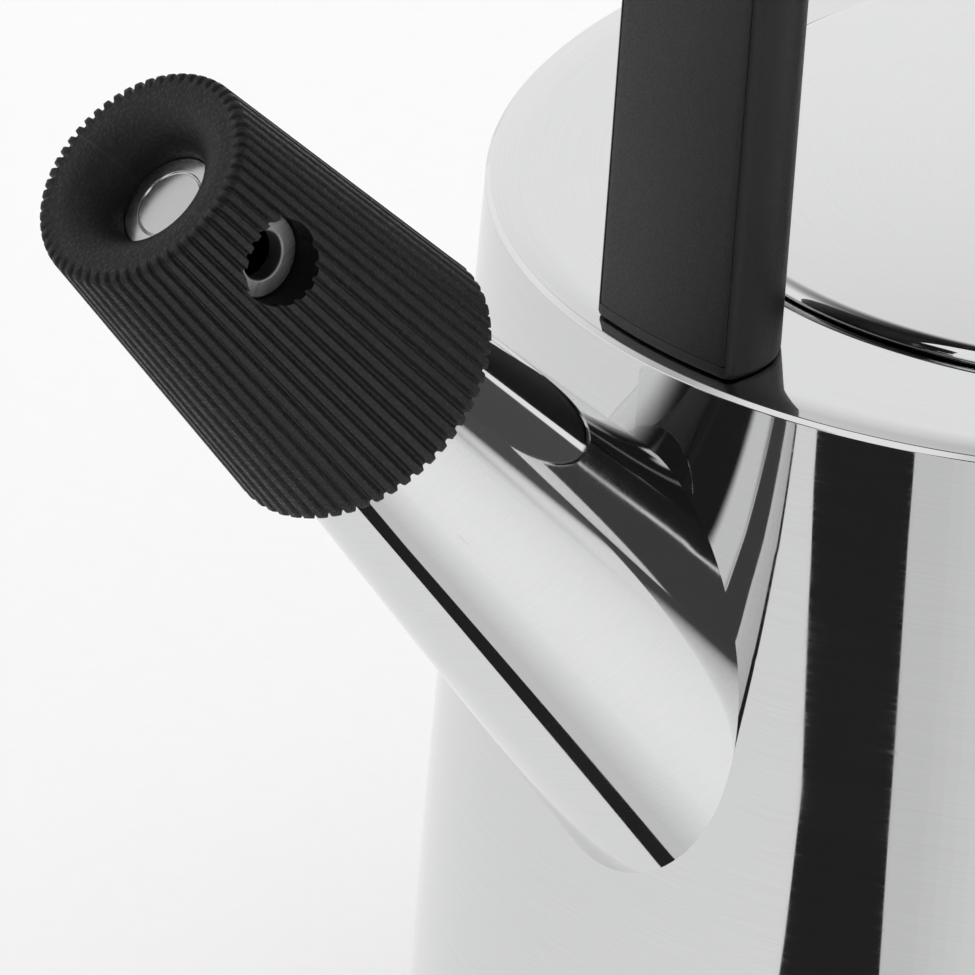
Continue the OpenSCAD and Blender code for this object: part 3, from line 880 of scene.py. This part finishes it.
# painted dark reflections: dark sheets round the kettle that only the polish mirrors, in degrees of azimuth
# and elevation;
# soft is how far each fades at its low and high azimuth and at its low and high elevation
flags = {
    "frontFlag": dict(azimuth=(2, 62), elevation=(16.5, 70), tone=0.022, soft=(9, 7, 0.3, 9)),
    "cornerFlag": dict(azimuth=(2, 23.5), elevation=(-4, 17), tone=0.03, soft=(9, 0.4, 0, 0)),
    "lowFlag": dict(azimuth=(25, 88), elevation=(-4, 16.2), tone=0.085, soft=(0.4, 3, 0, 0.3)),
    "topFlag": dict(azimuth=(-92, 190), elevation=(60, 87), tone=0.022, soft=(18, 12, 10, 6)),
    "backFlag": dict(azimuth=(-184, -42), elevation=(22, 72), tone=0.022, soft=(9, 16, 40, 5)),
    "sideTopFlag": dict(azimuth=(54, 184), elevation=(34, 76), tone=0.022, soft=(8, 9, 7, 9)),
    "sideFlag": dict(azimuth=(134, 172), elevation=(-4, 13), tone=0.085, soft=(1.5, 0.5, 0, 2)),
}
# painted reflections on sheets lifted just off the floor, in metres: first the long dark band under the
# spout
floorFlag = dict(tone=0.02, lift=0.0004, outline=[
    (0.085, -0.006), (0.14, -0.011), (0.28, -0.021), (0.34, -0.027), (0.46, -0.060), (0.9, -0.14),
    (0.9, 0.13), (0.46, 0.064), (0.34, 0.0515), (0.28, 0.0465), (0.2, 0.040), (0.14, 0.012), (0.085, 0.007)])
# a soft grey shade beside that band: azimuth and cover
floorShade = dict(tone=0.72, lift=0.0003, near=0.086, far=1.3, steps=181, fade=[
    (-150, 0.4), (-6, 0.4), (2, 1.0), (12, 1.0), (22, 0.6), (34, 0.2), (50, 0.1), (110, 0.1),
    (150, 0.4), (210, 0.4)])
# painted highlight: a bright patch next to the spout that only the polish mirrors, given as distance and
# cover
floorGlow = dict(tone=1.16, lift=0.0002, middle=(0.12, 0.10), near=0.001, rings=16, steps=73, fade=[
    (0.0, 0.95), (0.1, 0.8), (0.2, 0.5), (0.32, 0.2), (0.45, 0.0)])
# painted dark reflection on the camera's side, where the mirrored floor fades to dark: azimuth, start and
# end of the fade
darkFloorReflection = dict(tone=0.09, lift=0.0006, far=3.2, rings=9, steps=60, edge=[
    (56, 0.5, 1.5), (75, 0.42, 1.4), (90, 0.36, 1.2), (104, 0.34, 0.95), (113, 0.38, 0.75),
    (119, 0.62, 0.86), (127, 0.80, 1.0), (150, 0.9, 1.15)])


def stageMesh(name, points, faces, material):
    mesh = bpy.data.meshes.new(name)
    mesh.from_pydata(points, [], faces)
    mesh.materials.append(material)
    obj = bpy.data.objects.new(name, mesh)
    bpy.context.scene.collection.objects.link(obj)
    return obj


def paintedReflectionFinish(name, tone):
    # painted reflection: a sheet of one even tone, dark or bright, whose cover fades towards its edges
    material = bpy.data.materials.new(name)
    material.use_nodes = True
    tree = material.node_tree
    tree.nodes.clear()
    cover = tree.nodes.new("ShaderNodeAttribute")
    cover.attribute_name = "cover"
    glow = tree.nodes.new("ShaderNodeEmission")
    glow.inputs["Color"].default_value = (tone, tone, tone, 1)
    clear = tree.nodes.new("ShaderNodeBsdfTransparent")
    blend = tree.nodes.new("ShaderNodeMixShader")
    tree.links.new(cover.outputs["Fac"], blend.inputs[0])
    tree.links.new(clear.outputs[0], blend.inputs[1])
    tree.links.new(glow.outputs[0], blend.inputs[2])
    tree.links.new(blend.outputs[0], tree.nodes.new("ShaderNodeOutputMaterial").inputs[0])
    return material


def gridFaces(rows, wide):
    return [
        (k * wide + i, k * wide + i + 1, (k + 1) * wide + i + 1, (k + 1) * wide + i)
        for k in range(rows - 1) for i in range(wide - 1)
    ]


def hangSheet(name, points, faces, tone, cover):
    # a painted reflection: a sheet that the polish mirrors, and that the camera and the shadows never see
    sheet = stageMesh(name, points, faces, paintedReflectionFinish(name, tone))
    sheet.data.attributes.new("cover", "FLOAT", "POINT").data.foreach_set("value", cover)
    sheet.visible_camera = False
    sheet.visible_diffuse = False
    sheet.visible_shadow = False


def makeFlag(name, look):
    # a painted dark reflection: part of a sphere round the kettle, with closer points where its edges fade
    def stops(span, low, high, fadeSteps=6, evenSteps=20):
        shares = [k / fadeSteps for k in range(fadeSteps + 1)]
        edges = [span[0] + low * share for share in shares] + [span[1] - high * share for share in shares]
        return sorted(set(np.round(edges + list(np.linspace(*span, evenSteps)), 4)))

    def inside(value, span, low, high):
        return smooth(min((value - span[0]) / low if low else 1, (span[1] - value) / high if high else 1, 1))

    distance = studio["flagDistance"]
    softAround, softUp = look["soft"][:2], look["soft"][2:]
    azimuths, elevations = stops(look["azimuth"], *softAround), stops(look["elevation"], *softUp)
    points, cover = [], []
    for elevation in elevations:
        for azimuth in azimuths:
            a, e = math.radians(azimuth), math.radians(elevation)
            points.append((distance * math.cos(a) * math.cos(e), distance * math.sin(a) * math.cos(e),
                           distance * math.sin(e)))
            cover.append(inside(azimuth, look["azimuth"], *softAround)
                         * inside(elevation, look["elevation"], *softUp))
    hangSheet(name, points, gridFaces(len(elevations), len(azimuths)), look["tone"], cover)


def turnedTo(radius, angle, lift, middle=(0, 0)):
    return middle[0] + radius * math.cos(angle), middle[1] + radius * math.sin(angle), lift


def makeFloorFlag():
    # painted dark reflection that only the polish mirrors
    points = [(x, y, floorFlag["lift"]) for x, y in floorFlag["outline"]]
    hangSheet("floorFlag", points, [tuple(range(len(points)))], floorFlag["tone"], [1.0] * len(points))


def makeFloorShade():
    turns = np.radians(np.linspace(floorShade["fade"][0][0], floorShade["fade"][-1][0], floorShade["steps"]))
    reach = (floorShade["near"], floorShade["far"])
    points = [turnedTo(r, a, floorShade["lift"]) for a in turns for r in reach]
    cover = np.repeat(np.interp(np.degrees(turns), *zip(*floorShade["fade"])), len(reach))
    hangSheet("floorShade", points, gridFaces(len(turns), len(reach)), floorShade["tone"], cover)


def makeFloorGlow():
    # painted highlight that only the polish mirrors
    reach = np.linspace(floorGlow["near"], floorGlow["fade"][-1][0], floorGlow["rings"])
    turns = np.linspace(0, 2 * math.pi, floorGlow["steps"])
    points = [turnedTo(r, a, floorGlow["lift"], floorGlow["middle"]) for r in reach for a in turns]
    cover = np.repeat(np.interp(reach, *zip(*floorGlow["fade"])), len(turns))
    hangSheet("floorGlow", points, gridFaces(len(reach), len(turns)), floorGlow["tone"], cover)


def makeDarkFloorReflection():
    # painted dark reflection of the floor on the camera's side, seen only in the polish
    azimuths, near, far = zip(*darkFloorReflection["edge"])
    turns = np.linspace(azimuths[0], azimuths[-1], darkFloorReflection["steps"])
    starts, ends = np.interp(turns, azimuths, near), np.interp(turns, azimuths, far)
    turns = np.radians(turns)
    points, cover = [], []
    for t in np.linspace(0, 1, darkFloorReflection["rings"]):
        points += [turnedTo(r, a, darkFloorReflection["lift"]) for a, r in zip(turns, starts + (ends - starts) * t)]
        cover += [smooth(t)] * len(turns)
    points += [turnedTo(darkFloorReflection["far"], a, darkFloorReflection["lift"]) for a in turns]
    cover += [1.0] * len(turns)
    hangSheet("darkFloorReflection", points, gridFaces(darkFloorReflection["rings"] + 1, len(turns)), darkFloorReflection["tone"], cover)


def makeFloor():
    half, tone, grain = studio["floorHalf"], studio["floorTone"], studio["floorGrain"]
    material, tree, shader = newFinish("palePaper")
    shader.inputs["Roughness"].default_value = studio["floorRough"]
    shader.inputs["Specular IOR Level"].default_value = studio["floorGloss"]
    paper = noiseNode(tree, objectCoordinates(tree), studio["grainScale"], detail=3.0, roughness=0.6)
    tint(tree, shader, paper, (tone - grain,) * 3, (tone + grain,) * 3)
    corners = [(-half, -half, 0), (half, -half, 0), (half, half, 0), (-half, half, 0)]
    stageMesh("floor", corners, [(0, 1, 2, 3)], material)


def makeLight():
    world = bpy.data.worlds.new("tent")
    world.use_nodes = True
    background = world.node_tree.nodes["Background"]
    background.inputs["Color"].default_value = (1, 1, 1, 1)
    background.inputs["Strength"].default_value = studio["tentBright"]
    bpy.context.scene.world = world
    bpy.context.scene.view_settings.view_transform = "Standard"


def makeCamera():
    view = dict(place=(1.2543269, 1.497355, 0.9877976), yaw=-2.2298, pitch=-0.4327, lens=761.48,
                sensor=36, near=0.05, far=200)
    data = bpy.data.cameras.new("camera")
    data.sensor_width = view["sensor"]
    data.lens = view["lens"]
    data.clip_start = view["near"]
    data.clip_end = view["far"]
    camera = bpy.data.objects.new("camera", data)
    bpy.context.scene.collection.objects.link(camera)
    ahead = Vector((math.cos(view["pitch"]) * math.cos(view["yaw"]),
                    math.cos(view["pitch"]) * math.sin(view["yaw"]), math.sin(view["pitch"])))
    camera.location = view["place"]
    camera.rotation_mode = "QUATERNION"
    camera.rotation_quaternion = ahead.to_track_quat("-Z", "Y")
    bpy.context.scene.camera = camera


makeFloor()
makeFloorFlag()
makeFloorShade()
makeFloorGlow()
makeDarkFloorReflection()
for name, look in flags.items():
    makeFlag(name, look)
makeLight()
makeCamera()
print("studio made")
